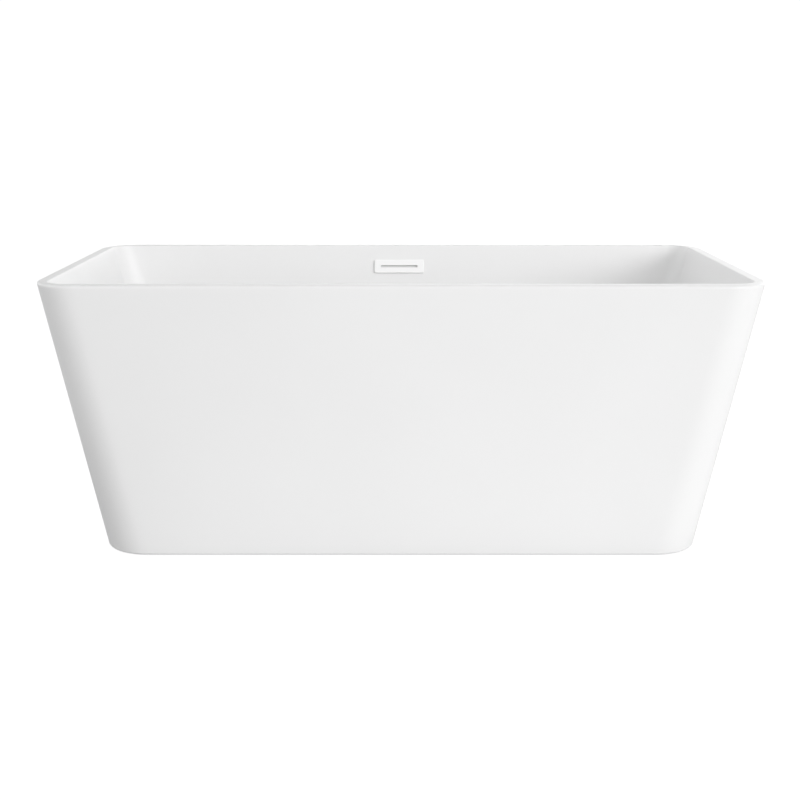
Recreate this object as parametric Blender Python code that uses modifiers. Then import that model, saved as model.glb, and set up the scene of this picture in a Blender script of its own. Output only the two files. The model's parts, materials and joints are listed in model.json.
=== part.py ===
"""Freestanding double-wall acrylic bathtub, 1500 x 750 x 600 mm.

Frame: origin on the floor under the middle of the tub, +X along the length,
-Y towards the front, +Z up.  Units are metres.  The tub is an inner basin and an
outer skirt bonded at the rim, a laminated basin on a board and a steel base
frame, five levelling feet, a pop-up waste in the middle of the floor and a
slotted overflow high on the inside of the back wall.
"""
import math

import bmesh
import bpy
from mathutils import Matrix, Vector

# ---------------------------------------------------------------- dimensions
LENGTH, WIDTH, HEIGHT = 1.500, 0.750, 0.600
END_TAPER, SIDE_TAPER = 0.100, 0.080      # how far the skirt leans in, rim to floor
R_RIM, R_BASE = 0.090, 0.100              # plan radius of the outer corners
RIM_W = 0.026                             # width of the flat rim
EDGE_R = 0.006                            # rounding of the rim's outer edge
EDGE_IN = 0.003                           # rounding of the rim's inner edge
SKIRT_T = 0.004                           # skirt thickness
ACRYLIC_T = 0.005                         # basin thickness
LAMINATE_T = 0.003                        # glass-fibre backing
SKIRT_GAP = 0.002                         # skirt edge above the floor
LIP_DROP = 0.012                          # basin lip folded over the skirt
FLOOR_TOP = 0.165                         # basin floor above the ground
END_SLOPE, SIDE_SLOPE = 0.32, 0.24        # lean of the basin's end and long walls
FILLET_R = 0.070                          # basin floor-to-wall radius
R_IN_RIM, R_IN_FLOOR = 0.044, 0.082       # plan radius of the basin's corners
LAMINATE_TOP = 0.450
GAP = 0.0003

BOARD_HX, BOARD_HY, BOARD_T = 0.500, 0.175, 0.018
RAIL, RAIL_WALL = 0.025, 0.002
RAIL_Y, RAIL_HX = 0.150, 0.620
CROSS_X = {"left": -0.400, "centre": -0.130, "right": 0.400}

FOOT_X, FOOT_Y = 0.480, 0.150
STUD_R = 0.006                            # M12 levelling stud

DRAIN_Y = 0.050                           # waste centre, on the long centre line
DRAIN_HOLE_R = 0.024
OVERFLOW_X, OVERFLOW_Z = -0.0045, 0.548   # the overflow's centre
COVER_W, COVER_H = 0.1246, 0.033
SLOT_W, SLOT_H = 0.093, 0.0056

CORNER_SEG = 6
ROUND_SEG = 24

ZC = FLOOR_TOP + FILLET_R                 # centre height of the floor fillet
BOARD_TOP = FLOOR_TOP - ACRYLIC_T - 0.0006 - LAMINATE_T - GAP
BOARD_BOT = BOARD_TOP - BOARD_T
RAIL_TOP = BOARD_BOT - GAP
RAIL_BOT = RAIL_TOP - RAIL
RAIL_MID = (RAIL_TOP + RAIL_BOT) / 2

# ---------------------------------------------------------------- scene
for old in list(bpy.data.objects):
    bpy.data.objects.remove(old, do_unlink=True)

tub = bpy.data.collections.new("freestanding_bathtub")
cutters = bpy.data.collections.new("cutters")
bpy.context.scene.collection.children.link(tub)
bpy.context.scene.collection.children.link(cutters)


def material(name, colour, roughness, metallic=0.0):
    m = bpy.data.materials.new(name)
    m.use_nodes = True
    p = m.node_tree.nodes["Principled BSDF"]
    p.inputs["Base Color"].default_value = (*colour, 1.0)
    p.inputs["Roughness"].default_value = roughness
    p.inputs["Metallic"].default_value = metallic
    return m


ACRYLIC = material("white_acrylic", (0.86, 0.86, 0.86), 0.15)
TRIM = material("white_trim", (0.90, 0.90, 0.90), 0.20)
CHROME = material("chrome", (0.80, 0.80, 0.80), 0.08, 1.0)
LAMINATE = material("glass_fibre", (0.62, 0.60, 0.48), 0.60)
PLY = material("plywood", (0.55, 0.40, 0.24), 0.70)
STEEL = material("galvanised_steel", (0.55, 0.56, 0.57), 0.40, 1.0)
RUBBER = material("rubber", (0.03, 0.03, 0.03), 0.75)
PIPE = material("white_plastic", (0.78, 0.78, 0.76), 0.45)
ADHESIVE = material("joint_adhesive", (0.75, 0.75, 0.72), 0.60)


def add(name, mesh, mat, smooth=True, where=None):
    ob = bpy.data.objects.new(name, mesh)
    (where or tub).objects.link(ob)
    if mat:
        mesh.materials.append(mat)
    if smooth:
        mesh.shade_smooth()
        mesh.set_sharp_from_angle(angle=math.radians(30))
    return ob


def mesh_from(bm, name, recalc=True):
    if recalc:
        bmesh.ops.recalc_face_normals(bm, faces=bm.faces)
    me = bpy.data.meshes.new(name)
    bm.to_mesh(me)
    bm.free()
    return me


# ---------------------------------------------------------------- rounded-rectangle sections
def section(hx, hy, r, z, seg=CORNER_SEG):
    """Points of a rounded rectangle at height z, anticlockwise from +X."""
    pts = []
    for k, (sx, sy) in enumerate(((1, 1), (-1, 1), (-1, -1), (1, -1))):
        for i in range(seg + 1):
            a = math.pi / 2 * (k + i / seg)
            pts.append((sx * (hx - r) + r * math.cos(a), sy * (hy - r) + r * math.sin(a), z))
    return pts


def lean(z):
    """Share of the taper reached at height z; the rim's outer edge is the widest line."""
    return max(0.0, (HEIGHT - EDGE_R - z) / (HEIGHT - EDGE_R))


def outer(z, inset=0.0):
    """Skirt section at height z, inset square to its face."""
    f = lean(z)
    sx, sy = END_TAPER / HEIGHT, SIDE_TAPER / HEIGHT
    return section(
        LENGTH / 2 - END_TAPER * f - inset * math.hypot(1, sx),
        WIDTH / 2 - SIDE_TAPER * f - inset * math.hypot(1, sy),
        R_RIM + (R_BASE - R_RIM) * f - inset,
        z,
    )


def reach(z, out, start, slope):
    """Half size of the basin at height z: a leaning wall tangent to the floor fillet."""
    k = math.hypot(1, slope)
    centre = start - slope * (HEIGHT - ZC) - FILLET_R * k
    tangent = ZC - (FILLET_R + out) * slope / k
    if z >= tangent:
        return start - slope * (HEIGHT - z) + out * k
    return centre + math.sqrt(max((FILLET_R + out) ** 2 - (ZC - z) ** 2, 0.0))


def inner(z, out=0.0, spread=0.0, at=None):
    """Basin section at height z, offset outwards by out and then by spread in plan."""
    f = (HEIGHT - z) / (HEIGHT - FLOOR_TOP)
    return section(
        reach(z, out, LENGTH / 2 - RIM_W, END_SLOPE) + spread,
        reach(z, out, WIDTH / 2 - RIM_W, SIDE_SLOPE) + spread,
        R_IN_RIM + (R_IN_FLOOR - R_IN_RIM) * f + out + spread,
        z if at is None else at,
    )


def fillet_levels(out, steps=5):
    """Heights up the floor fillet, from the floor to just above the tangent points."""
    last = math.radians(78)
    return [ZC - (FILLET_R + out) * math.cos(last * i / steps) for i in range(steps + 1)]


def loft(name, rings, mat, closed=False, where=None):
    bm = bmesh.new()
    rows = [[bm.verts.new(p) for p in ring] for ring in rings]
    n = len(rows[0])
    pairs = list(zip(rows, rows[1:]))
    if closed:
        pairs.append((rows[-1], rows[0]))
    for a, b in pairs:
        for i in range(n):
            bm.faces.new((a[i], a[(i + 1) % n], b[(i + 1) % n], b[i]))
    if not closed:
        bm.faces.new(rows[0])
        bm.faces.new(list(reversed(rows[-1])))
    return add(name, mesh_from(bm, name), mat, where=where)


def boolean(ob, cutter, how="DIFFERENCE"):
    m = ob.modifiers.new(how.lower(), "BOOLEAN")
    m.operation = how
    m.solver = "EXACT"
    m.object = cutter


def hide(ob):
    ob.hide_render = True
    ob.display_type = "WIRE"
    return ob


# ---------------------------------------------------------------- simple solids
def box(name, size, centre, mat=None, bevel=0.0, rot=None, where=None, segments=2, vertical=False):
    bm = bmesh.new()
    bmesh.ops.create_cube(bm, size=1.0)
    bmesh.ops.scale(bm, vec=Vector(size), verts=bm.verts)
    if vertical and bevel:
        edges = [e for e in bm.edges if abs((e.verts[0].co - e.verts[1].co).normalized().z) > 0.9]
        bmesh.ops.bevel(bm, geom=edges, offset=bevel, segments=segments, affect="EDGES", profile=0.5)
    ob = add(name, mesh_from(bm, name), mat, smooth=bool(bevel), where=where)
    ob.matrix_world = Matrix.Translation(centre) @ (rot.to_4x4() if rot else Matrix())
    if bevel and not vertical:
        m = ob.modifiers.new("bevel", "BEVEL")
        m.width, m.segments, m.limit_method = bevel, segments, "ANGLE"
    return ob


def rod(name, r, length, centre, axis=(0, 0, 1), mat=None, seg=ROUND_SEG, where=None):
    """A cylinder, or a hexagonal bar when seg is 6."""
    bm = bmesh.new()
    bmesh.ops.create_cone(bm, cap_ends=True, segments=seg, radius1=r, radius2=r, depth=length)
    ob = add(name, mesh_from(bm, name), mat, smooth=seg > 6, where=where)
    turn = Vector((0, 0, 1)).rotation_difference(Vector(axis))
    ob.matrix_world = Matrix.Translation(centre) @ turn.to_matrix().to_4x4()
    return ob


def turned(name, profile, place, mat, seg=ROUND_SEG, ring=False, where=None):
    """A (radius, height) profile spun about local Z. It runs down its outer side."""
    bm = bmesh.new()
    vs = [bm.verts.new((r, 0.0, z)) for r, z in profile]
    for a, b in zip(vs, vs[1:] + ([vs[0]] if ring else [])):
        bm.edges.new((a, b))
    me = bpy.data.meshes.new(name)
    bm.to_mesh(me)
    bm.free()
    ob = add(name, me, mat, smooth=False, where=where)
    m = ob.modifiers.new("turn", "SCREW")
    m.angle = math.tau
    m.steps = m.render_steps = seg
    m.use_merge_vertices = True
    m.merge_threshold = 0.00002
    m.use_smooth_shade = True
    ob.matrix_world = place if isinstance(place, Matrix) else Matrix.Translation(place)
    return ob


def cut_rod(ob, r, length, centre, axis=(0, 0, 1), seg=16):
    boolean(ob, hide(rod("cut_" + ob.name, r, length, centre, axis, seg=seg, where=cutters)))


def outline_plate(name, pts, thickness, place, mat):
    """A flat outline, filled both sides and extruded, made a mesh with welded caps."""
    cu = bpy.data.curves.new(name, "CURVE")
    cu.dimensions, cu.fill_mode, cu.extrude = "2D", "BOTH", thickness / 2
    sp = cu.splines.new("POLY")
    sp.points.add(len(pts) - 1)
    for p, (x, y) in zip(sp.points, pts):
        p.co = (x, y, 0, 1)
    sp.use_cyclic_u = True
    tmp = bpy.data.objects.new(name + "_outline", cu)
    bpy.context.scene.collection.objects.link(tmp)
    tmp.matrix_world = place
    bpy.context.view_layer.update()
    me = bpy.data.meshes.new_from_object(tmp.evaluated_get(bpy.context.evaluated_depsgraph_get()))
    bpy.data.objects.remove(tmp)
    bm = bmesh.new()
    bm.from_mesh(me)
    bmesh.ops.remove_doubles(bm, verts=bm.verts, dist=1e-6)
    bmesh.ops.recalc_face_normals(bm, faces=bm.faces)
    bm.to_mesh(me)
    bm.free()
    me.materials.clear()
    ob = add(name, me, mat, smooth=False)
    ob.matrix_world = place
    return ob


def through(points, count):
    """A smooth curve through the given points, evenly sampled."""
    pts = [Vector(p) for p in points]
    ext = [pts[0] * 2 - pts[1]] + pts + [pts[-1] * 2 - pts[-2]]
    fine = []
    for a, b, c, d in zip(ext, ext[1:], ext[2:], ext[3:]):
        for i in range(40):
            t = i / 40
            fine.append(0.5 * ((2 * b) + (c - a) * t + (2 * a - 5 * b + 4 * c - d) * t * t
                               + (3 * b - a - 3 * c + d) * t ** 3))
    fine.append(pts[-1])
    run = [0.0]
    for a, b in zip(fine, fine[1:]):
        run.append(run[-1] + (b - a).length)
    out, j = [], 0
    for i in range(count):
        want = run[-1] * i / (count - 1)
        while j < len(run) - 2 and run[j + 1] < want:
            j += 1
        f = (want - run[j]) / max(run[j + 1] - run[j], 1e-9)
        out.append(fine[j].lerp(fine[j + 1], min(max(f, 0), 1)))
    return out


def tube(name, points, r, mat):
    cu = bpy.data.curves.new(name, "CURVE")
    cu.dimensions, cu.bevel_depth, cu.bevel_resolution, cu.use_fill_caps = "3D", r, 2, True
    sp = cu.splines.new("POLY")
    sp.points.add(len(points) - 1)
    for p, co in zip(sp.points, points):
        p.co = (*co, 1)
    cu.materials.append(mat)
    ob = bpy.data.objects.new(name, cu)
    tub.objects.link(ob)
    return ob


# ================================================================ shells
# Basin: one closed section carried from the middle of its floor, up the wall,
# over the rim, down the lip, and back along its underside.
e = EDGE_R
k45 = 1 - math.cos(math.pi / 4)
rings = [inner(z) for z in fillet_levels(0.0)]
i = EDGE_IN
rings += [inner(0.360), inner(0.480), inner(HEIGHT - i)]
rings += [inner(HEIGHT - i, spread=i * k45, at=HEIGHT - i * k45), inner(HEIGHT - i, spread=i, at=HEIGHT)]
rings += [outer(HEIGHT, e), outer(HEIGHT - e * k45, e * k45), outer(HEIGHT - e), outer(HEIGHT - LIP_DROP)]
rings += [outer(HEIGHT - LIP_DROP, 0.004), outer(HEIGHT - ACRYLIC_T, 0.004)]
rings += [inner(HEIGHT - ACRYLIC_T, ACRYLIC_T), inner(0.480, ACRYLIC_T), inner(0.360, ACRYLIC_T)]
rings += [inner(z, ACRYLIC_T) for z in reversed(fillet_levels(ACRYLIC_T))]
inner_shell = loft("inner_shell", rings, ACRYLIC)
cut_rod(inner_shell, DRAIN_HOLE_R, 0.03, (0, DRAIN_Y, FLOOR_TOP), seg=ROUND_SEG)

# Skirt: face, rounded bottom edge with an inward return, inside face, top flange.
top = HEIGHT - LIP_DROP - GAP
b = 0.004
rings = [outer(top), outer(0.300), outer(SKIRT_GAP + b)]
rings += [outer(SKIRT_GAP + b * k45, b * k45), outer(SKIRT_GAP, b), outer(SKIRT_GAP, 0.022)]
rings += [outer(SKIRT_GAP + SKIRT_T, 0.022), outer(SKIRT_GAP + SKIRT_T, SKIRT_T), outer(0.300, SKIRT_T)]
rings += [outer(top - SKIRT_T, SKIRT_T), inner(top - SKIRT_T, ACRYLIC_T, 0.0020), inner(top, ACRYLIC_T, 0.0020)]
loft("outer_shell", rings, ACRYLIC, closed=True)

# Adhesive strip between the skirt's top flange and the underside of the rim.
rings = [outer(top + GAP, 0.006), outer(HEIGHT - ACRYLIC_T - GAP, 0.006),
         outer(HEIGHT - ACRYLIC_T - GAP, 0.011), outer(top + GAP, 0.011)]
loft("rim_joint_strip", rings, ADHESIVE, closed=True)

# Glass-fibre backing, open round the waste.
t0 = ACRYLIC_T + 0.0006
t1 = t0 + LAMINATE_T
rings = [inner(z, t0) for z in fillet_levels(t0)] + [inner(0.360, t0), inner(LAMINATE_TOP, t0)]
rings += [inner(LAMINATE_TOP, t1), inner(0.360, t1)] + [inner(z, t1) for z in reversed(fillet_levels(t1))]
laminate = loft("basin_laminate", rings, LAMINATE)
cut_rod(laminate, 0.050, 0.04, (0, DRAIN_Y, BOARD_TOP), seg=ROUND_SEG)

# ================================================================ board and steel base frame
board = loft("base_board", [section(BOARD_HX, BOARD_HY, 0.05, BOARD_BOT, 3),
                            section(BOARD_HX, BOARD_HY, 0.05, BOARD_TOP, 3)], PLY)
cut_rod(board, 0.050, 0.04, (0, DRAIN_Y, (BOARD_TOP + BOARD_BOT) / 2), seg=ROUND_SEG)


def square_tube(name, start, end):
    """A square steel tube along X or Y, open at both ends."""
    along = 0 if start[0] != end[0] else 1
    rings = []
    for p, h in ((start, RAIL / 2), (end, RAIL / 2), (end, RAIL / 2 - RAIL_WALL), (start, RAIL / 2 - RAIL_WALL)):
        ring = []
        for u, v in ((1, 1), (-1, 1), (-1, -1), (1, -1)):
            q = Vector((p[0], p[1], RAIL_MID + v * h))
            q[1 - along] += u * h
            ring.append(q)
        rings.append(ring)
    return loft(name, rings, STEEL, closed=True)


rails = {
    "front": square_tube("rail_front", (-RAIL_HX, -RAIL_Y), (RAIL_HX, -RAIL_Y)),
    "back": square_tube("rail_back", (-RAIL_HX, RAIL_Y), (RAIL_HX, RAIL_Y)),
}
reach_y = RAIL_Y - RAIL / 2 - GAP
crosses = {k: square_tube("cross_rail_" + k, (x, -reach_y), (x, reach_y)) for k, x in CROSS_X.items()}

SCREW_X = (-0.320, 0.090, 0.320)
for side, sy in (("front", -1), ("back", 1)):
    for i, x in enumerate(SCREW_X):
        y = sy * RAIL_Y
        cut_rod(rails[side], 0.0029, 0.06, (x, y, RAIL_MID), seg=12)
        cut_rod(board, 0.0029, 0.036, (x, y, BOARD_BOT - 0.002), seg=12)
        turned("board_screw_%s_%d" % (side, i + 1),
               [(0, 0.0390), (0.0012, 0.0385), (0.0025, 0.0355), (0.0025, 0.0), (0.0052, 0.0),
                (0.0052, -0.0012), (0.0036, -0.0028), (0, -0.0028)],
               (x, y, RAIL_BOT - GAP), STEEL, seg=12)


def skirt_inside(z):
    return LENGTH / 2 - END_TAPER * lean(z) - SKIRT_T * math.hypot(1, END_TAPER / HEIGHT)


for end, sx in (("left", -1), ("right", 1)):
    for side, sy in (("front", -1), ("back", 1)):
        z0, t = RAIL_BOT - GAP, 0.003
        x0 = skirt_inside(z0 - t) - 0.0005
        x1 = skirt_inside(0.165) - 0.0005
        pts = [(0.580, z0 - t), (x0, z0 - t), (x1, 0.165), (x1 - t, 0.165), (skirt_inside(z0) - 0.0005 - t, z0), (0.580, z0)]
        if sx < 0:
            pts = [(-x, z) for x, z in reversed(pts)]
        place = Matrix.Translation((0, sy * RAIL_Y, 0)) @ Matrix.Rotation(math.pi / 2, 4, "X")
        name = "skirt_bracket_%s_%s" % (end, side)
        br = outline_plate(name, pts, 0.030, place, STEEL)
        cut_rod(br, 0.0029, 0.02, (sx * 0.600, sy * RAIL_Y, z0), seg=12)
        cut_rod(rails[side], 0.0029, 0.012, (sx * 0.600, sy * RAIL_Y, RAIL_BOT), seg=12)
        turned("bracket_screw_%s_%s" % (end, side),
               [(0, 0.0110), (0.0012, 0.0105), (0.0025, 0.0080), (0.0025, 0.0), (0.0052, 0.0),
                (0.0052, -0.0012), (0.0036, -0.0028), (0, -0.0028)],
               (sx * 0.600, sy * RAIL_Y, z0 - t - GAP), STEEL, seg=12)

# ================================================================ levelling feet
FEET = {
    "front_left": (-FOOT_X, -FOOT_Y, rails["front"]),
    "front_right": (FOOT_X, -FOOT_Y, rails["front"]),
    "back_left": (-FOOT_X, FOOT_Y, rails["back"]),
    "back_right": (FOOT_X, FOOT_Y, rails["back"]),
    "centre": (CROSS_X["centre"], 0.0, crosses["centre"]),
}
for name, (x, y, rail) in FEET.items():
    cut_rod(rail, STUD_R + 0.0005, 0.06, (x, y, RAIL_MID), seg=16)
    turned("foot_pad_" + name,
           [(0, 0.0060), (0.0066, 0.0060), (0.0066, 0.0200), (0.0100, 0.0200), (0.0120, 0.0110),
            (0.0225, 0.0085), (0.0250, 0.0060), (0.0250, 0.0015), (0.0235, 0.0), (0, 0.0)],
           (x, y, 0), RUBBER, seg=20)
    stud = turned("foot_stud_" + name,
                  [(0, 0.1340), (0.0048, 0.1340), (STUD_R, 0.1325), (STUD_R, 0.0078), (0.0045, 0.0063), (0, 0.0063)],
                  (x, y, 0), STEEL, seg=16)
    boolean(stud, hide(rod("hex_" + name, 0.0110, 0.008, (x, y, 0.040), seg=6, where=cutters)), "UNION")
    nut = rod("foot_lock_nut_" + name, 0.0110, 0.010, (x, y, RAIL_BOT - GAP - 0.005), seg=6, mat=STEEL)
    cut_rod(nut, STUD_R + 0.0003, 0.02, (x, y, RAIL_BOT - GAP - 0.005), seg=16)

# ================================================================ pop-up waste
D = Vector((0.0, DRAIN_Y, 0.0))
FT = FLOOR_TOP
turned("drain_upper_gasket", [(0.0245, FT + 0.0013), (0.033, FT + 0.0013), (0.033, FT + 0.0003), (0.0245, FT + 0.0003)],
       D, RUBBER, ring=True)
turned("drain_flange",
       [(0.0185, FT + 0.0044), (0.0198, FT + 0.0050), (0.0325, FT + 0.0050), (0.0350, FT + 0.0036),
        (0.0350, FT + 0.0016), (0.0220, FT + 0.0016), (0.0220, 0.1120), (0.0185, 0.1120)],
       D, CHROME, ring=True)
under = FT - ACRYLIC_T
turned("drain_lower_gasket", [(0.0224, under - 0.0003), (0.038, under - 0.0003), (0.038, under - 0.0033), (0.0224, under - 0.0033)],
       D, RUBBER, ring=True)
nut = rod("drain_lock_nut", 0.0400, 0.010, D + Vector((0, 0, under - 0.0086)), seg=6, mat=PIPE)
cut_rod(nut, 0.0224, 0.03, D + Vector((0, 0, under - 0.0086)), seg=ROUND_SEG)

INLET_Z = 0.095
tee = rod("drain_tee", 0.0280, 0.060, D + Vector((0, 0, 0.100)), mat=PIPE)
boolean(tee, hide(rod("tee_spigot", 0.0230, 0.030, D + Vector((0, 0, 0.067)), where=cutters)), "UNION")
boolean(tee, hide(rod("tee_inlet", 0.0100, 0.040, D + Vector((0, 0.0305, INLET_Z)), (0, 1, 0), seg=20, where=cutters)), "UNION")
cut_rod(tee, 0.0224, 0.040, D + Vector((0, 0, 0.130)), seg=ROUND_SEG)
cut_rod(tee, 0.0180, 0.080, D + Vector((0, 0, 0.080)), seg=ROUND_SEG)
cut_rod(tee, 0.0204, 0.020, D + Vector((0, 0, 0.055)), seg=ROUND_SEG)
cut_rod(tee, 0.0075, 0.060, D + Vector((0, 0.032, INLET_Z)), (0, 1, 0), seg=20)

turned("tail_pipe_nut",
       [(0.0234, 0.0680), (0.0290, 0.0680), (0.0290, 0.0460), (0.0204, 0.0460), (0.0204, 0.0500), (0.0234, 0.0500)],
       D, PIPE, ring=True)
turned("tail_pipe_washer", [(0.0203, 0.0517), (0.0230, 0.0517), (0.0230, 0.0503), (0.0203, 0.0503)], D, RUBBER, ring=True)
turned("tail_pipe", [(0.0180, 0.0645), (0.0200, 0.0645), (0.0200, 0.0200), (0.0180, 0.0200)], D, PIPE, ring=True)

# Spring cartridge on a crossbar inside the flange tube, and the plug that clicks on it.
cartridge = box("plug_cartridge", (0.0362, 0.004, 0.006), D + Vector((0, 0, 0.131)), PIPE)
boolean(cartridge, hide(rod("cartridge_barrel", 0.0062, 0.025, D + Vector((0, 0, 0.1375)), seg=20, where=cutters)), "UNION")
cut_rod(cartridge, 0.0036, 0.04, D + Vector((0, 0, 0.1375)), seg=16)
seat = FT + 0.0053
turned("plug_seal", [(0.0045, seat + 0.0019), (0.0260, seat + 0.0019), (0.0260, seat), (0.0045, seat)], D, RUBBER, ring=True)
turned("plug_stem", [(0, seat + 0.0019), (0.0032, seat + 0.0019), (0.0032, 0.1280), (0.0024, 0.1270), (0, 0.1270)],
       D, STEEL, seg=16)
cap0 = seat + 0.0022
turned("plug_cap", [(0, cap0 + 0.0052), (0.0150, cap0 + 0.0049), (0.0260, cap0 + 0.0040), (0.0300, cap0 + 0.0028),
                    (0.0310, cap0 + 0.0014), (0.0310, cap0), (0, cap0)], D, TRIM, seg=32)

# ================================================================ overflow
# Local frame on the back wall: x along the wall, u up the wall, n away from the basin.
kk = math.hypot(1, SIDE_SLOPE)
U = Vector((0, SIDE_SLOPE, 1)) / kk
N = Vector((0, 1, -SIDE_SLOPE)) / kk
P0 = Vector((OVERFLOW_X, WIDTH / 2 - RIM_W - SIDE_SLOPE * (HEIGHT - OVERFLOW_Z), OVERFLOW_Z))
WALL = Matrix(((1, 0, 0), (0, N.y, U.y), (0, N.z, U.z)))       # columns: x, n, u


def at(x, u, n):
    return P0 + Vector((x, 0, 0)) + U * u + N * n


def wall_box(name, w, h, u, n0, n1, mat=None, r=0.0, where=None, x=0.0):
    """A box on the wall frame: w wide, h high, centred at u, from depth n0 to n1."""
    bm = bmesh.new()
    bmesh.ops.create_cube(bm, size=1.0)
    bmesh.ops.scale(bm, vec=Vector((w, n1 - n0, h)), verts=bm.verts)
    if r:
        edges = [g for g in bm.edges if abs((g.verts[0].co - g.verts[1].co).normalized().y) > 0.9]
        bmesh.ops.bevel(bm, geom=edges, offset=r, segments=4, affect="EDGES", profile=0.5)
    ob = add(name, mesh_from(bm, name), mat, smooth=bool(r), where=where)
    ob.matrix_world = Matrix.Translation(at(x, u, (n0 + n1) / 2)) @ WALL.to_4x4()
    return ob


def wall_cut(ob, w, h, u, n0, n1, r=0.0):
    boolean(ob, hide(wall_box("cut_" + ob.name, w, h, u, n0, n1, r=r, where=cutters)))


wall_cut(inner_shell, 0.096, 0.018, 0.0, -0.010, 0.015, r=0.004)
SCREW_OFF = 0.0535
for sx in (-1, 1):
    cut_rod(inner_shell, 0.0026, 0.030, at(sx * SCREW_OFF, 0, 0.003), N, seg=12)

cover = wall_box("overflow_cover", COVER_W, COVER_H, 0.0, -0.0052, -0.0003, TRIM, r=0.003)
wall_cut(cover, COVER_W - 0.004, COVER_H - 0.004, 0.0, -0.0030, 0.005, r=0.0015)
wall_cut(cover, SLOT_W, SLOT_H, 0.0, -0.010, 0.0, r=0.0012)
# Splash baffle behind the slot, on two posts; water runs over and under it.
boolean(cover, hide(wall_box("cover_baffle", 0.0974, 0.0100, 0.0, -0.0015, -0.0006, where=cutters)), "UNION")
for sx in (-1, 1):
    boolean(cover, hide(wall_box("baffle_post", 0.0018, 0.0098, 0.0, -0.0032, -0.0010, where=cutters, x=sx * 0.0477)), "UNION")

gasket = wall_box("overflow_gasket", 0.118, 0.034, 0.0, 0.0053, 0.0071, RUBBER, r=0.004)
wall_cut(gasket, 0.097, 0.023, 0.0, 0.0, 0.012, r=0.003)
body = wall_box("overflow_body", 0.118, 0.034, 0.0, 0.0074, 0.0104, PIPE, r=0.004)
boolean(body, hide(wall_box("body_box", 0.100, 0.030, 0.0, 0.0090, 0.0190, r=0.003, where=cutters)), "UNION")
boolean(body, hide(wall_box("body_neck", 0.024, 0.026, -0.023, 0.0092, 0.0188, r=0.003, where=cutters)), "UNION")
SPIGOT_N = 0.0183
boolean(body, hide(rod("body_spigot", 0.0100, 0.036, at(0, -0.044, SPIGOT_N), U, seg=20, where=cutters)), "UNION")
wall_cut(body, 0.096, 0.022, 0.0, 0.0050, 0.0172, r=0.003)
wall_cut(body, 0.014, 0.030, -0.0250, 0.0110, 0.0170)
cut_rod(body, 0.0075, 0.030, at(0, -0.049, SPIGOT_N), U, seg=20)
for sx in (-1, 1):
    for ob in (gasket, body):
        cut_rod(ob, 0.0026, 0.030, at(sx * SCREW_OFF, 0, 0.003), N, seg=12)
    turned("overflow_screw_" + ("left" if sx < 0 else "right"),
           [(0, 0.0), (0.0030, 0.0), (0.0042, -0.0008), (0.0042, -0.0018), (0.0020, -0.0018), (0.0020, -0.0135), (0, -0.0135)],
           Matrix.Translation(at(sx * SCREW_OFF, 0, -0.0022)) @ Vector((0, 0, 1)).rotation_difference(-N).to_matrix().to_4x4(),
           STEEL, seg=12)

# Hose nuts and the overflow hose between the overflow body and the tee.
HOSE_R = 0.009
NUT = [(0.0103, 0.0120), (0.0126, 0.0120), (0.0126, -0.0110), (0.0093, -0.0110), (0.0093, -0.0025), (0.0103, -0.0025)]
hose_top = at(0, -0.0623, SPIGOT_N)
hose_end = D + Vector((0, 0.0508, INLET_Z))
turned("hose_nut_upper", NUT, Matrix.Translation(hose_top) @ Vector((0, 0, 1)).rotation_difference(U).to_matrix().to_4x4(),
       PIPE, seg=20, ring=True)
turned("hose_nut_lower", NUT, Matrix.Translation(hose_end) @ Vector((0, 0, 1)).rotation_difference(Vector((0, -1, 0))).to_matrix().to_4x4(),
       PIPE, seg=20, ring=True)
route = [hose_top, at(0, -0.076, SPIGOT_N), (OVERFLOW_X, 0.3290, 0.425), (OVERFLOW_X * 0.7, 0.3130, 0.350), (0, 0.2950, 0.270), (0, 0.2760, 0.205),
         (0, 0.2480, 0.150), (0, 0.2080, 0.112), (0, 0.1640, 0.0965), (0, 0.1200, INLET_Z), hose_end]
tube("overflow_hose", through(route, 42), HOSE_R, PIPE)
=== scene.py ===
"""Looks of the freestanding bathtub: fine shells, fittings, materials, light and camera."""
import json
import math

import bmesh
import bpy
from mathutils import Matrix, Vector


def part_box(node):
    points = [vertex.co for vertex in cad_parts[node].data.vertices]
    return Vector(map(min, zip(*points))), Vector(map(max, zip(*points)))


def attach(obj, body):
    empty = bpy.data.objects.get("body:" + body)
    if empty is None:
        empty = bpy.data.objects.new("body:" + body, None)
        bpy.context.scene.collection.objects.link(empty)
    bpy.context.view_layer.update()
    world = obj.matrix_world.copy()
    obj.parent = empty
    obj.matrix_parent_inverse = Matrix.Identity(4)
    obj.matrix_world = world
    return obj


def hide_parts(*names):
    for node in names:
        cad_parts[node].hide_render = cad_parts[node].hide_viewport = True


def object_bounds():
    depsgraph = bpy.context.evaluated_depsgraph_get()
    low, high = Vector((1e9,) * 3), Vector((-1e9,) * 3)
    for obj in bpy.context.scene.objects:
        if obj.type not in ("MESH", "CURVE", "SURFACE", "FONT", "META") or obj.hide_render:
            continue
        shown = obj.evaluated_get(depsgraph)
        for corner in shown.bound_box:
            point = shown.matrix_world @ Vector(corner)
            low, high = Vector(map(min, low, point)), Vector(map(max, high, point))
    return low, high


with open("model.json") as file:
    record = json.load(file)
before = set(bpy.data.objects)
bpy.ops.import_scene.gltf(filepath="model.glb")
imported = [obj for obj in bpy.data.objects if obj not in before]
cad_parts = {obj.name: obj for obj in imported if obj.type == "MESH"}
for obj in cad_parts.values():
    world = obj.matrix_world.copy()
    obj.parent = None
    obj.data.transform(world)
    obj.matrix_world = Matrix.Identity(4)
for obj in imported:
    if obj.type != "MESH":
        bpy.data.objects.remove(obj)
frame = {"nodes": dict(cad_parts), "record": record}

CAD = [list(c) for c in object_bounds()]
RECORD = frame["record"]
NODES = frame["nodes"]
BODY_OF = {n: b for b, ns in RECORD["behaviour"]["bodies"].items() for n in ns}
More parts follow.
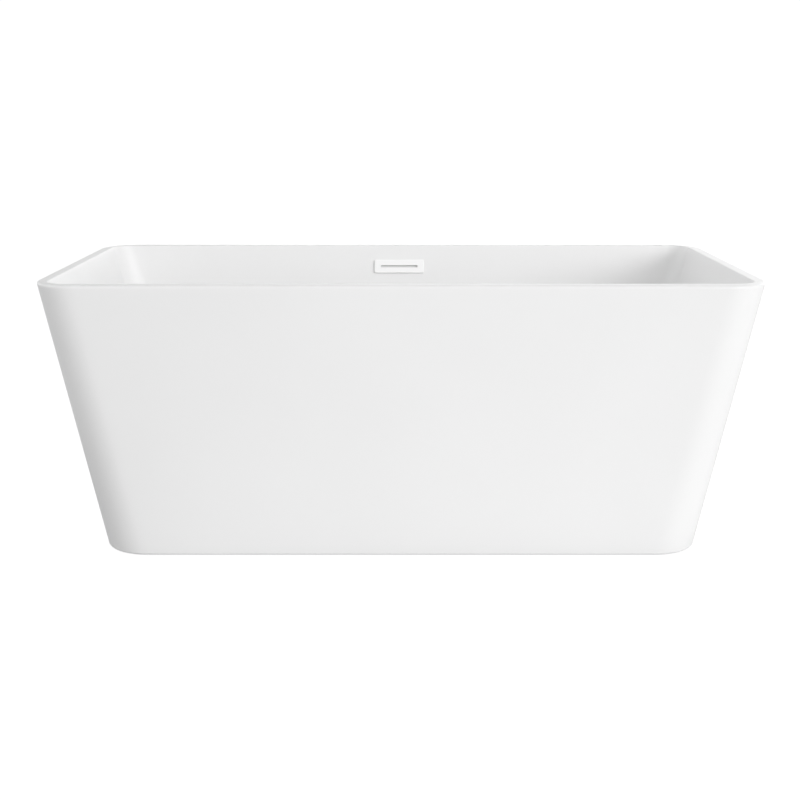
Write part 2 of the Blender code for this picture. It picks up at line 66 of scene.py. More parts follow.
SLOT_OF = {s["node"]: s["material_slot"] for s in RECORD["subparts"]}
HIDDEN = set()

# ------------------------------------------------------------------ sizes, as the frame has them
lo, hi = Vector(CAD[0]), Vector(CAD[1])
LENGTH, WIDTH, HEIGHT = hi.x - lo.x, hi.y - lo.y, hi.z
END_TAPER, SIDE_TAPER = 0.100, 0.080
R_RIM, R_BASE, RIM_W, EDGE_R, EDGE_IN = 0.090, 0.100, 0.026, 0.006, 0.003
SKIRT_T, ACRYLIC_T, LAMINATE_T, SKIRT_GAP, LIP_DROP = 0.004, 0.005, 0.003, 0.002, 0.012
FLOOR_TOP, END_SLOPE, SIDE_SLOPE, FILLET_R = 0.165, 0.32, 0.24, 0.070
R_IN_RIM, R_IN_FLOOR, LAMINATE_TOP = 0.044, 0.082, 0.450
ZC = FLOOR_TOP + FILLET_R
DRAIN = Vector((0.0, 0.050, 0.0))


# soft lights as (azimuth, elevation, strength, tightness), and the floor's glow at places along X
SOFT_LIGHTS = ((-90, 15, 2.10, 4), (0, 12, 0.37, 4), (180, 25, 0.64, 4), (45, 20, 0.44, 4), (-70, 35, 0.24, 24), (0, 45, 2.66, 24),
               (130, 10, 2.23, 24), (150, 35, 1.93, 24), (155, 10, 1.02, 24), (180, 8, 1.30, 24), (-130, 10, 1.62, 24),
               (38, 25, 2.14, 24), (46, 14, 3.58, 24), (60, 8, 2.44, 24))
FLOOR_GLOW = ((-1.3, 0.513), (-1.0, 0.403), (-0.75, 0.364), (-0.45, 0.640), (0.4, 0.735))
# the floor's emission to the camera under the tub: a painted shadow
FLOOR_PAINTED_SHADOW = 0.66


# ------------------------------------------------------------------ material building
class Nodes:
    """Shorthand for building a node tree."""

    def __init__(self, name):
        self.mat = bpy.data.materials.new(name)
        self.mat.use_nodes = True
        self.nt = self.mat.node_tree
        self.nt.nodes.clear()
        self.out = self.nt.nodes.new("ShaderNodeOutputMaterial")
        self.p = self.nt.nodes.new("ShaderNodeBsdfPrincipled")
        self.link(self.p.outputs["BSDF"], self.out.inputs["Surface"])
        self.coord = self.nt.nodes.new("ShaderNodeTexCoord").outputs["Object"]

    def link(self, a, b):
        self.nt.links.new(a, b)

    def set(self, **kw):
        for k, v in kw.items():
            self.p.inputs[k.replace("_", " ")].default_value = v
        return self

    def mapped(self, scale=(1, 1, 1), rot=(0, 0, 0)):
        m = self.nt.nodes.new("ShaderNodeMapping")
        m.inputs["Scale"].default_value = scale
        m.inputs["Rotation"].default_value = rot
        self.link(self.coord, m.inputs["Vector"])
        return m.outputs["Vector"]

    def noise(self, scale, detail=3.0, rough=0.5, vec=None, distortion=0.0):
        n = self.nt.nodes.new("ShaderNodeTexNoise")
        n.inputs["Scale"].default_value = scale
        n.inputs["Detail"].default_value = detail
        n.inputs["Roughness"].default_value = rough
        n.inputs["Distortion"].default_value = distortion
        self.link(vec or self.coord, n.inputs["Vector"])
        return n.outputs["Fac"]

    def voronoi(self, scale, feature="F1", vec=None, out="Distance"):
        n = self.nt.nodes.new("ShaderNodeTexVoronoi")
        n.feature = feature
        n.inputs["Scale"].default_value = scale
        self.link(vec or self.coord, n.inputs["Vector"])
        return n.outputs[out]

    def wave(self, scale, distortion=0.0, detail=0.0, vec=None, direction="X", kind="BANDS"):
        n = self.nt.nodes.new("ShaderNodeTexWave")
        n.wave_type = kind
        if kind == "BANDS":
            n.bands_direction = direction
        n.inputs["Scale"].default_value = scale
        n.inputs["Distortion"].default_value = distortion
        n.inputs["Detail"].default_value = detail
        self.link(vec or self.coord, n.inputs["Vector"])
        return n.outputs["Fac"]

    def ramp(self, fac, stops):
        n = self.nt.nodes.new("ShaderNodeValToRGB")
        el = n.color_ramp.elements
        while len(el) < len(stops):
            el.new(0.5)
        for e, (pos, col) in zip(el, stops):
            e.position = pos
            e.color = (*col, 1.0) if len(col) == 3 else col
        self.link(fac, n.inputs["Fac"])
        return n.outputs["Color"]

    def span(self, fac, lo, hi, a=0.0, b=1.0):
        n = self.nt.nodes.new("ShaderNodeMapRange")
        for k, v in zip(("From Min", "From Max", "To Min", "To Max"), (a, b, lo, hi)):
            n.inputs[k].default_value = v
        self.link(fac, n.inputs["Value"])
        return n.outputs["Result"]

    def mix(self, fac, a, b, how="MIX"):
        n = self.nt.nodes.new("ShaderNodeMix")
        n.data_type, n.blend_type = "RGBA", how
        for sock, v in ((n.inputs["Factor"], fac), (n.inputs["A"] if False else n.inputs[6], a), (n.inputs[7], b)):
            if hasattr(v, "is_linked") or hasattr(v, "node"):
                self.link(v, sock)
            else:
                sock.default_value = v if not isinstance(v, tuple) or len(v) == 4 else (*v, 1.0)
        return n.outputs[2]

    def add(self, a, b, how="ADD"):
        n = self.nt.nodes.new("ShaderNodeMath")
        n.operation = how
        for sock, v in zip(n.inputs, (a, b)):
            if isinstance(v, (int, float)):
                sock.default_value = v
            else:
                self.link(v, sock)
        return n.outputs[0]

    def bump(self, height, strength, distance, under=None):
        n = self.nt.nodes.new("ShaderNodeBump")
        n.inputs["Strength"].default_value = strength
        n.inputs["Distance"].default_value = distance
        self.link(height, n.inputs["Height"])
        if under is not None:
            self.link(under, n.inputs["Normal"])
        return n.outputs["Normal"]

    def colour(self, sock):
        self.link(sock, self.p.inputs["Base Color"])
        return self

    def rough(self, sock):
        self.link(sock, self.p.inputs["Roughness"])
        return self

    def normal(self, sock):
        self.link(sock, self.p.inputs["Normal"])
        return self


def acrylic(name, tone, rough=0.30, ripple=0.03):
    """Gloss cast acrylic: very faint waves in the sheet, polish haze and a trace of tone change."""
    n = Nodes(name)
    wide = n.noise(2.2, 2.0, 0.4)
    fine = n.noise(260.0, 2.0, 0.5)
    haze = n.noise(9.0, 4.0, 0.6)
    a = tuple(c * 0.985 for c in tone)
    n.colour(n.ramp(n.noise(3.5, 3.0, 0.5), [(0.30, a), (0.70, tone)]))
    n.rough(n.span(haze, rough - 0.025, rough + 0.035, 0.3, 0.7))
    n.normal(n.bump(fine, 0.04, 0.00025, n.bump(wide, ripple, 0.0040)))
    n.set(IOR=1.49, Specular_IOR_Level=0.5, Subsurface_Weight=0.0)
    return n.mat


def moulded(name, tone, rough=0.30, grain=420.0, strength=0.10):
    """Injection-moulded plastic: fine spark grain, slight mottle and handling marks."""
    n = Nodes(name)
    a = tuple(c * 0.93 for c in tone)
    n.colour(n.ramp(n.noise(30.0, 4.0, 0.55), [(0.25, a), (0.70, tone)]))
    n.rough(n.span(n.noise(55.0, 5.0, 0.6), rough - 0.06, rough + 0.08, 0.3, 0.7))
    n.normal(n.bump(n.noise(grain, 2.0, 0.5), strength, 0.0003))
    n.set(IOR=1.50)
    return n.mat


def zinc():
    """Galvanised steel: spangle crystals and dull oxide blooms."""
    n = Nodes("galvanised_steel")
    cells = n.voronoi(95.0, vec=n.mapped((1, 1, 1)), out="Color")
    sep = n.nt.nodes.new("ShaderNodeSeparateColor")
    n.link(cells, sep.inputs["Color"])
    bloom = n.noise(14.0, 5.0, 0.6)
    base = n.ramp(sep.outputs["Red"], [(0.0, (0.46, 0.48, 0.50)), (0.5, (0.56, 0.57, 0.58)), (1.0, (0.68, 0.69, 0.70))])
    n.colour(n.mix(n.span(bloom, 0.0, 0.55, 0.45, 0.75), base, (0.42, 0.43, 0.43)))
    n.rough(n.add(n.span(sep.outputs["Green"], 0.28, 0.46), n.span(bloom, 0.0, 0.16, 0.4, 0.8)))
    n.normal(n.bump(n.noise(320.0, 3.0, 0.6), 0.12, 0.0003))
    n.set(Metallic=1.0)
    return n.mat


def steel(name="stainless_steel", tone=(0.62, 0.62, 0.61), rough=0.26):
    n = Nodes(name)
    fine = n.noise(60.0, 6.0, 0.7, vec=n.mapped((1, 1, 14)))
    n.colour(n.ramp(fine, [(0.3, tuple(c * 0.85 for c in tone)), (0.7, tone)]))
    n.rough(n.span(fine, rough - 0.06, rough + 0.10, 0.3, 0.7))
    n.normal(n.bump(fine, 0.10, 0.0002))
    n.set(Metallic=1.0)
    return n.mat


def chrome():
    n = Nodes("chrome")
    n.colour(n.ramp(n.noise(8.0, 3.0, 0.5), [(0.3, (0.78, 0.79, 0.80)), (0.7, (0.86, 0.87, 0.88))]))
    n.rough(n.span(n.noise(40.0, 5.0, 0.65), 0.03, 0.09, 0.35, 0.75))
    n.normal(n.bump(n.noise(7.0, 1.0, 0.4), 0.03, 0.0006))
    n.set(Metallic=1.0)
    return n.mat


def fibreglass():
    """Hand-laid chopped strand mat in resin: crossing fibres and resin pools."""
    n = Nodes("glass_fibre")
    strands = None
    for i, turn in enumerate((0.3, 1.2, 2.1, 2.8)):
        s = n.noise(34.0, 2.0, 0.5, vec=n.mapped((1.0, 14.0, 1.0), (0.4 * i, 0.5 * i, turn)), distortion=0.3)
        s = n.span(s, 0.0, 1.0, 0.55, 0.72)
        strands = s if strands is None else n.add(strands, s, "MAXIMUM")
    pool = n.noise(6.0, 4.0, 0.6)
    base = n.ramp(pool, [(0.30, (0.47, 0.44, 0.30)), (0.55, (0.60, 0.57, 0.43)), (0.80, (0.68, 0.66, 0.54))])
    n.colour(n.mix(n.span(strands, 0.0, 0.55), base, (0.80, 0.79, 0.70)))
    n.rough(n.span(pool, 0.34, 0.68, 0.3, 0.7))
    n.normal(n.bump(strands, 0.45, 0.0009, n.bump(pool, 0.5, 0.006)))
    n.set(IOR=1.52)
    return n.mat


def plywood():
    """Birch ply: figured faces, and thin alternating veneers on the edge."""
    n = Nodes("plywood")
    grain = n.noise(9.0, 6.0, 0.6, vec=n.mapped((1.0, 16.0, 3.0)), distortion=0.8)
    face = n.ramp(grain, [(0.28, (0.50, 0.33, 0.17)), (0.52, (0.66, 0.48, 0.28)), (0.78, (0.76, 0.60, 0.39))])
    plies = n.wave(110.0, 0.5, 1.0, direction="Z")
    edge = n.ramp(plies, [(0.35, (0.38, 0.23, 0.11)), (0.60, (0.70, 0.53, 0.32))])
    geo = n.nt.nodes.new("ShaderNodeNewGeometry")
    sep = n.nt.nodes.new("ShaderNodeSeparateXYZ")
    n.link(geo.outputs["Normal"], sep.inputs["Vector"])
    flat = n.add(sep.outputs["Z"], 0.0, "ABSOLUTE")
    n.colour(n.mix(n.span(flat, 0.0, 1.0, 0.55, 0.75), edge, face))
    n.rough(n.span(grain, 0.55, 0.78, 0.3, 0.7))
    n.normal(n.bump(grain, 0.25, 0.0006))
    return n.mat


def rubber(name="black_rubber"):
    n = Nodes(name)
    n.colour(n.ramp(n.noise(22.0, 5.0, 0.65), [(0.30, (0.018, 0.018, 0.019)), (0.75, (0.050, 0.050, 0.052))]))
    n.rough(n.span(n.noise(70.0, 4.0, 0.6), 0.62, 0.86, 0.3, 0.7))
    n.normal(n.bump(n.noise(380.0, 3.0, 0.6), 0.30, 0.0004))
    return n.mat


def adhesive():
    n = Nodes("joint_adhesive")
    n.colour(n.ramp(n.noise(18.0, 4.0, 0.6), [(0.3, (0.60, 0.60, 0.55)), (0.7, (0.76, 0.76, 0.72))]))
    n.rough(n.span(n.noise(40.0, 4.0, 0.6), 0.45, 0.70, 0.3, 0.7))
    n.normal(n.bump(n.noise(90.0, 4.0, 0.6), 0.5, 0.001))
    return n.mat


MATS = {
    "white_acrylic": acrylic("white_acrylic", (0.86, 0.86, 0.86)),
    "white_trim": acrylic("white_trim", (0.97, 0.97, 0.97), 0.24, 0.02),
    "joint_adhesive": adhesive(),
    "glass_fibre": fibreglass(),
    "plywood": plywood(),
    "galvanised_steel": zinc(),
    "stainless_steel": steel(),
    "black_rubber": rubber(),
    "chrome": chrome(),
    "white_pipework": moulded("white_pipework", (0.78, 0.78, 0.76)),
    "grey_hose": moulded("grey_hose", (0.42, 0.43, 0.44), 0.42, 300.0, 0.15),
}


# ------------------------------------------------------------------ pieces
def piece(name, mesh, node, angle=32, mat=None):
    """A visible piece that stands for a CAD node, rides on its body and takes its finish."""
    ob = bpy.data.objects.new(name, mesh)
    bpy.context.scene.collection.objects.link(ob)
    slot = SLOT_OF[node]
    mesh.materials.clear()
    mesh.materials.append(mat or MATS[slot])
    mesh.shade_smooth()
    if angle:
        mesh.set_sharp_from_angle(angle=math.radians(angle))
    HIDDEN.add(node)
    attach(ob, BODY_OF[node])
    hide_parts(node)
    return ob


def new_mesh(bm, name, recalc=True):
    if recalc:
        bmesh.ops.recalc_face_normals(bm, faces=bm.faces)
    me = bpy.data.meshes.new(name)
    bm.to_mesh(me)
    bm.free()
    return me


def applied(ob):
    """The object's mesh with its modifiers applied."""
    bpy.context.view_layer.update()
    me = bpy.data.meshes.new_from_object(ob.evaluated_get(bpy.context.evaluated_depsgraph_get()))
    return me


def loose(name, mesh):
    ob = bpy.data.objects.new(name, mesh)
    bpy.context.scene.collection.objects.link(ob)
    return ob


def cut(mesh, *tools, how="DIFFERENCE"):
    """The mesh after a Boolean with each tool mesh, as a new mesh."""
    ob = loose("work", mesh)
    made = [ob]
    for t in tools:
        c = loose("tool", t)
        made.append(c)
        m = ob.modifiers.new("cut", "BOOLEAN")
        m.operation, m.solver, m.object = how, "EXACT", c
    me = applied(ob)
    for o in made:
        bpy.data.objects.remove(o, do_unlink=True)
    return me


# ------------------------------------------------------------------ the tub's sections
SEG = 20


def section(hx, hy, r, z, seg=SEG, ease=0.003):
    """A rounded rectangle; each flat has a point near its ends, so it shades flat."""
    pts = []
    for k, (sx, sy) in enumerate(((1, 1), (-1, 1), (-1, -1), (1, -1))):
        for i in range(seg + 1):
            a = math.pi / 2 * (k + i / seg)
            x, y = sx * (hx - r) + r * math.cos(a), sy * (hy - r) + r * math.sin(a)
            if ease and i == 0:
                pts.append((x + ease * math.sin(a), y - ease * math.cos(a), z))
            pts.append((x, y, z))
            if ease and i == seg:
                pts.append((x - ease * math.sin(a), y + ease * math.cos(a), z))
    return pts


def lean(z):
    return max(0.0, (HEIGHT - EDGE_R - z) / (HEIGHT - EDGE_R))


def outer(z, inset=0.0):
    f = lean(z)
    return section(LENGTH / 2 - END_TAPER * f - inset * math.hypot(1, END_TAPER / HEIGHT),
                   WIDTH / 2 - SIDE_TAPER * f - inset * math.hypot(1, SIDE_TAPER / HEIGHT),
                   R_RIM + (R_BASE - R_RIM) * f - inset, z)


def reach(z, out, start, slope):
    """Half size of the basin at height z: floor fillet, then leaning wall."""
    k = math.hypot(1, slope)
    tangent = ZC - (FILLET_R + out) * slope / k
    if z >= tangent:
        return start - slope * (HEIGHT - z) + out * k
    centre = start - slope * (HEIGHT - ZC) - FILLET_R * k
    return centre + math.sqrt(max((FILLET_R + out) ** 2 - (ZC - z) ** 2, 0.0))


def inner(z, out=0.0, spread=0.0, at=None):
    f = (HEIGHT - z) / (HEIGHT - FLOOR_TOP)
    return section(reach(z, out, LENGTH / 2 - RIM_W, END_SLOPE) + spread,
                   reach(z, out, WIDTH / 2 - RIM_W, SIDE_SLOPE) + spread,
                   R_IN_RIM + (R_IN_FLOOR - R_IN_RIM) * f + out + spread, z if at is None else at)


def fillet_levels(out, steps=18):
    last = math.radians(80)
    return [ZC - (FILLET_R + out) * math.cos(last * i / steps) for i in range(steps + 1)]


def loft(name, rings, closed=False):
    bm = bmesh.new()
    rows = [[bm.verts.new(p) for p in ring] for ring in rings]
    n = len(rows[0])
    pairs = list(zip(rows, rows[1:]))
    if closed:
        pairs.append((rows[-1], rows[0]))
    for a, b in pairs:
        for i in range(n):
            bm.faces.new((a[i], a[(i + 1) % n], b[(i + 1) % n], b[i]))
    if not closed:
        bm.faces.new(rows[0])
        bm.faces.new(list(reversed(rows[-1])))
    return new_mesh(bm, name)


def rod(r, length, centre, axis=(0, 0, 1), seg=64):
    bm = bmesh.new()
    bmesh.ops.create_cone(bm, cap_ends=True, segments=seg, radius1=r, radius2=r, depth=length)
    turn = Vector((0, 0, 1)).rotation_difference(Vector(axis)).to_matrix().to_4x4()
    bmesh.ops.transform(bm, matrix=Matrix.Translation(centre) @ turn, verts=bm.verts)
    return new_mesh(bm, "rod")


def rounded(profile, r, ring, steps=4):
    """The profile with its corners rounded, except those on the axis."""
    pts = [Vector((a, b)) for a, b in profile]
    out, n = [], len(pts)
    for i, p in enumerate(pts):
        if not ring and i in (0, n - 1):
            out.append(p)
            continue
        a, b = pts[i - 1] - p, pts[(i + 1) % n] - p
        t = min(r, a.length * 0.45, b.length * 0.45)
        if t < 1e-6 or a.normalized().dot(b.normalized()) < -0.985:
            out.append(p)
            continue
        s, e = p + a.normalized() * t, p + b.normalized() * t
        for k in range(steps + 1):
            u = k / steps
            out.append(s * (1 - u) ** 2 + p * 2 * u * (1 - u) + e * u * u)
    return out


def lathe(name, profile, place, seg=64, ring=False, r=0.0005):
    """A turned piece with softened edges."""
    pts = rounded(profile, r, ring)
    bm = bmesh.new()
    rows = []
    for p in pts:
        if p.x < 1e-7:
            rows.append([bm.verts.new((0, 0, p.y))])
        else:
            rows.append([bm.verts.new((p.x * math.cos(math.tau * i / seg), p.x * math.sin(math.tau * i / seg), p.y))
                         for i in range(seg)])
    pairs = list(zip(rows, rows[1:])) + ([(rows[-1], rows[0])] if ring else [])
    for a, b in pairs:
        for i in range(seg):
            j = (i + 1) % seg
            if len(a) == 1 and len(b) > 1:
                bm.faces.new((a[0], b[i], b[j]))
            elif len(b) == 1 and len(a) > 1:
                bm.faces.new((a[i], a[j], b[0]))
            elif len(a) > 1:
                bm.faces.new((a[i], a[j], b[j], b[i]))
    place = place if isinstance(place, Matrix) else Matrix.Translation(place)
    bmesh.ops.transform(bm, matrix=place, verts=bm.verts)
    return new_mesh(bm, name)


# ------------------------------------------------------------------ wall frame of the overflow
OVERFLOW_X, OVERFLOW_Z = -0.0045, 0.548
kk = math.hypot(1, SIDE_SLOPE)
U = Vector((0, SIDE_SLOPE, 1)) / kk
N = Vector((0, 1, -SIDE_SLOPE)) / kk
P0 = Vector((OVERFLOW_X, WIDTH / 2 - RIM_W - SIDE_SLOPE * (HEIGHT - OVERFLOW_Z), OVERFLOW_Z))
WALL = Matrix(((1, 0, 0), (0, N.y, U.y), (0, N.z, U.z)))


def at(x, u, n):
    return P0 + Vector((x, 0, 0)) + U * u + N * n


def slab(w, h, n0, n1, r, u=0.0, seg=10, round_front=0.0, x0=0.0):
    """A rounded rectangle on the wall frame from depth n0 to n1, its front edge softened."""
    bm = bmesh.new()

    def ring(inset, n):
        pts = section(w / 2 - inset, h / 2 - inset, max(r - inset, 0.0002), 0, seg, 0)
        return [bm.verts.new(at(x0 + x, u + y, n)) for x, y, _ in pts]

    rows = []
    if round_front:
        rows.append(ring(round_front * 2.2, n0))
        for i in range(0, 7):
            a = math.pi / 2 * i / 6
            rows.append(ring(round_front * (1 - math.sin(a)), n0 + round_front * (1 - math.cos(a))))
    else:
        rows.append(ring(0, n0))
    rows.append(ring(0, n1))
    for a, b in zip(rows, rows[1:]):
        for i in range(len(a)):
            j = (i + 1) % len(a)
            bm.faces.new((a[i], a[j], b[j], b[i]))
    bm.faces.new(rows[0])
    bm.faces.new(list(reversed(rows[-1])))
    return new_mesh(bm, "slab")


# ------------------------------------------------------------------ shells
def basin():
    """The bath itself, carried from its floor up the wall, over the rim, down the lip and back below."""
    rings = [inner(z) for z in fillet_levels(0.0)]
    rings += [inner(0.243 + (HEIGHT - EDGE_IN - 0.245) * i / 12) for i in range(13)]
    for i in range(9):                                     # rounded inner edge, tangent to wall and rim
        t = i / 8
        rings.append(inner(HEIGHT - EDGE_IN, spread=EDGE_IN * (0.56 * t * (1 - t) + t * t), at=HEIGHT - EDGE_IN * (1 - t) ** 2))
    rings.append(inner(HEIGHT - EDGE_IN, spread=EDGE_IN + 0.0015, at=HEIGHT))
    e = EDGE_R
    rings.append(outer(HEIGHT, e + 0.0015))
    rings += [outer(HEIGHT - e * (1 - math.cos(math.radians(a))), e * (1 - math.sin(math.radians(a))))
              for a in (0, 9, 18, 27, 36, 45, 54, 63, 72, 81, 90)]
    rings += [outer(HEIGHT - LIP_DROP), outer(HEIGHT - LIP_DROP, 0.004), outer(HEIGHT - ACRYLIC_T, 0.004)]
    rings += [inner(HEIGHT - ACRYLIC_T, ACRYLIC_T), inner(0.480, ACRYLIC_T), inner(0.360, ACRYLIC_T)]
    rings += [inner(z, ACRYLIC_T) for z in reversed(fillet_levels(ACRYLIC_T))]
    me = loft("basin", rings)
    tools = [rod(0.024, 0.03, DRAIN + Vector((0, 0, FLOOR_TOP)), seg=96), slab(0.096, 0.018, -0.010, 0.015, 0.004)]
    tools += [rod(0.0026, 0.030, at(s * 0.0535, 0, 0.003), N, 24) for s in (-1, 1)]
    return cut(me, *tools)


piece("tub_basin", basin(), "inner_shell", 24)

top = HEIGHT - LIP_DROP - 0.00002
b = 0.004
rings = [outer(top), outer(top - 0.003)] + [outer(top - 0.01 - (top - 0.018) * i / 14) for i in range(14)]
rings += [outer(SKIRT_GAP + b + 0.002)]
rings += [outer(SKIRT_GAP + b * (1 - math.sin(math.radians(a))), b * (1 - math.cos(math.radians(a)))) for a in range(0, 91, 10)]
rings += [outer(SKIRT_GAP, 0.0212), outer(SKIRT_GAP + 0.0002, 0.0218), outer(SKIRT_GAP + 0.0008, 0.022),
          outer(SKIRT_GAP + SKIRT_T - 0.0008, 0.022), outer(SKIRT_GAP + SKIRT_T, 0.0212),
          outer(SKIRT_GAP + SKIRT_T, SKIRT_T + 0.003), outer(SKIRT_GAP + SKIRT_T + 0.001, SKIRT_T + 0.001),
          outer(SKIRT_GAP + SKIRT_T + 0.003, SKIRT_T), outer(0.300, SKIRT_T)]
rings += [outer(top - SKIRT_T, SKIRT_T), inner(top - SKIRT_T, ACRYLIC_T, 0.0020), inner(top, ACRYLIC_T, 0.0020)]
piece("tub_skirt", loft("skirt", rings, closed=True), "outer_shell", 32)

rings = [outer(0.588, 0.006), outer(0.5947, 0.006), outer(0.5947, 0.011), outer(0.588, 0.011)]
piece("rim_adhesive", loft("strip", rings, closed=True), "rim_joint_strip")

t0 = ACRYLIC_T + 0.0006
t1 = t0 + LAMINATE_T
rings = [inner(z, t0) for z in fillet_levels(t0)] + [inner(0.300, t0), inner(0.380, t0), inner(LAMINATE_TOP, t0)]
rings += [inner(LAMINATE_TOP, t1), inner(0.380, t1), inner(0.300, t1)] + [inner(z, t1) for z in reversed(fillet_levels(t1))]
piece("glass_fibre_backing", cut(loft("laminate", rings), rod(0.050, 0.04, DRAIN + Vector((0, 0, 0.156)), seg=96)),
      "basin_laminate", 24)

# ------------------------------------------------------------------ turned pieces of the waste
FT = FLOOR_TOP
UNDER = FT - ACRYLIC_T
SEAT = FT + 0.0053
CAP = SEAT + 0.0022
TURNED = [
    ("drain_upper_gasket", [(0.0245, FT + 0.0013), (0.033, FT + 0.0013), (0.033, FT + 0.0003), (0.0245, FT + 0.0003)], True, 0.0003),
    ("drain_flange", [(0.0185, FT + 0.0040), (0.0202, FT + 0.0050), (0.0318, FT + 0.0050), (0.0350, FT + 0.0034),
                      (0.0350, FT + 0.0016), (0.0220, FT + 0.0016), (0.0220, 0.1120), (0.0185, 0.1120)], True, 0.0007),
    ("drain_lower_gasket", [(0.0224, UNDER - 0.0003), (0.038, UNDER - 0.0003), (0.038, UNDER - 0.0033), (0.0224, UNDER - 0.0033)], True, 0.0006),
    ("tail_pipe_washer", [(0.0203, 0.0517), (0.0230, 0.0517), (0.0230, 0.0503), (0.0203, 0.0503)], True, 0.0003),
    ("tail_pipe", [(0.0180, 0.0645), (0.0200, 0.0645), (0.0200, 0.0200), (0.0180, 0.0200)], True, 0.0005),
    ("plug_seal", [(0.0045, SEAT + 0.0019), (0.0260, SEAT + 0.0019), (0.0260, SEAT), (0.0045, SEAT)], True, 0.0007),
    ("plug_stem", [(0, SEAT + 0.0019), (0.0032, SEAT + 0.0019), (0.0032, 0.1280), (0.0024, 0.1270), (0, 0.1270)], False, 0.0004),
    ("plug_cap", [(0, CAP + 0.0052), (0.0070, CAP + 0.0051), (0.0140, CAP + 0.0048), (0.0205, CAP + 0.0043), (0.0262, CAP + 0.0035),
                  (0.0310, CAP + 0.0022), (0.0310, CAP), (0, CAP)], False, 0.0014),
]
for node, prof, ring, r in TURNED:
    piece("fine_" + node, lathe(node, prof, DRAIN, 96 if "cap" in node or "flange" in node else 72, ring, r), node)

# ------------------------------------------------------------------ levelling feet
PITCH = 0.00175
FEET = {"front_left": (-0.480, -0.150), "front_right": (0.480, -0.150), "back_left": (-0.480, 0.150),
        "back_right": (0.480, 0.150), "centre": (-0.130, 0.0)}


def pad():
    prof = [(0, 0.0060), (0.0066, 0.0060), (0.0066, 0.0200), (0.0100, 0.0200), (0.0104, 0.0150), (0.0120, 0.0110),
            (0.0180, 0.0095), (0.0225, 0.0085), (0.0250, 0.0062), (0.0250, 0.0015), (0.0235, 0.0), (0.0200, 0.0),
            (0.0196, 0.0006), (0.0176, 0.0006), (0.0172, 0.0), (0.0120, 0.0), (0.0116, 0.0006), (0.0096, 0.0006), (0.0092, 0.0), (0, 0)]
    return lathe("pad", prof, Matrix(), 72, False, 0.0006)


def threaded(r, depth, z0, z1, seg=28, per=7):
    """A threaded rod from z0 to z1 with a helical groove that fades at its ends."""
    bm = bmesh.new()
    n = int((z1 - z0) / PITCH * per)
    rows = []
    for i in range(n + 1):
        z = z0 + (z1 - z0) * i / n
        fade = min(1.0, (z - z0) / 0.002, (z1 - z) / 0.002)
        row = []
        for k in range(seg):
            a = math.tau * k / seg
            phase = (z / PITCH - k / seg) % 1.0
            tri = abs(phase * 2 - 1)                       # 1 at the root, 0 at the crest
            groove = depth * min(max((tri - 0.12) / 0.76, 0.0), 1.0) * fade
            rr = r - groove - (0.0011 * (1 - min(1.0, min(z - z0, z1 - z) / 0.0011)))
            row.append(bm.verts.new((rr * math.cos(a), rr * math.sin(a), z)))
        rows.append(row)
    for a, b2 in zip(rows, rows[1:]):
        for i in range(seg):
            j = (i + 1) % seg
            bm.faces.new((a[i], a[j], b2[j], b2[i]))
    bm.faces.new(rows[0])
    bm.faces.new(list(reversed(rows[-1])))
    return new_mesh(bm, "thread")


def hexagon(radius, z0, z1, chamfer, hole=None, seg=48):
    """A hexagonal nut or collar whose corners are turned off at both ends."""
    bm = bmesh.new()
    af = radius * math.cos(math.pi / 6)
    rows = []
    for z, limit in ((z0, af * 0.985), (z0 + chamfer * 0.5, af + (radius - af) * 0.55), (z0 + chamfer, radius),
                     (z1 - chamfer, radius), (z1 - chamfer * 0.5, af + (radius - af) * 0.55), (z1, af * 0.985)):
        row = []
        for i in range(seg * 2):
            a = math.tau * i / (seg * 2)
            flat = af / math.cos((a + math.pi / 6) % (math.pi / 3) - math.pi / 6)
            rr = min(flat, limit)
            row.append(bm.verts.new((rr * math.cos(a), rr * math.sin(a), z)))
        rows.append(row)
    if hole:
        rows = [[bm.verts.new((hole * math.cos(math.tau * i / (seg * 2)), hole * math.sin(math.tau * i / (seg * 2)), z0))
                 for i in range(seg * 2)]] + rows
        rows.append([bm.verts.new((hole * math.cos(math.tau * i / (seg * 2)), hole * math.sin(math.tau * i / (seg * 2)), z1))
                     for i in range(seg * 2)])
    pairs = list(zip(rows, rows[1:])) + ([(rows[-1], rows[0])] if hole else [])
    for a, b2 in pairs:
        for i in range(len(a)):
            j = (i + 1) % len(a)
            bm.faces.new((a[i], a[j], b2[j], b2[i]))
    if not hole:
        bm.faces.new(rows[0])
        bm.faces.new(list(reversed(rows[-1])))
    return new_mesh(bm, "hex")


def moved(mesh, offset, turn=0.0):
    me = mesh.copy()
    me.transform(Matrix.Translation(offset) @ Matrix.Rotation(turn, 4, "Z"))
    return me


pad_mesh = pad()
stud_mesh = cut(threaded(0.006, 0.00085, 0.0063, 0.1340), hexagon(0.0110, 0.036, 0.044, 0.0012), how="UNION")
nut_mesh = hexagon(0.0110, 0.0, 0.010, 0.0012, 0.0063)
for i, (f, (x, y)) in enumerate(FEET.items()):
    piece("fine_foot_pad_" + f, moved(pad_mesh, (x, y, 0)), "foot_pad_" + f)
    piece("fine_foot_stud_" + f, moved(stud_mesh, (x, y, 0)), "foot_stud_" + f, 30)
    z0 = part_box("foot_lock_nut_" + f)[0][2]
    piece("fine_foot_lock_nut_" + f, moved(nut_mesh, (x, y, z0)), "foot_lock_nut_" + f)

z0, z1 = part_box("drain_lock_nut")[0][2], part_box("drain_lock_nut")[1][2]
piece("fine_drain_lock_nut", moved(hexagon(0.0400, z0, z1, 0.0020, 0.0224), DRAIN), "drain_lock_nut")


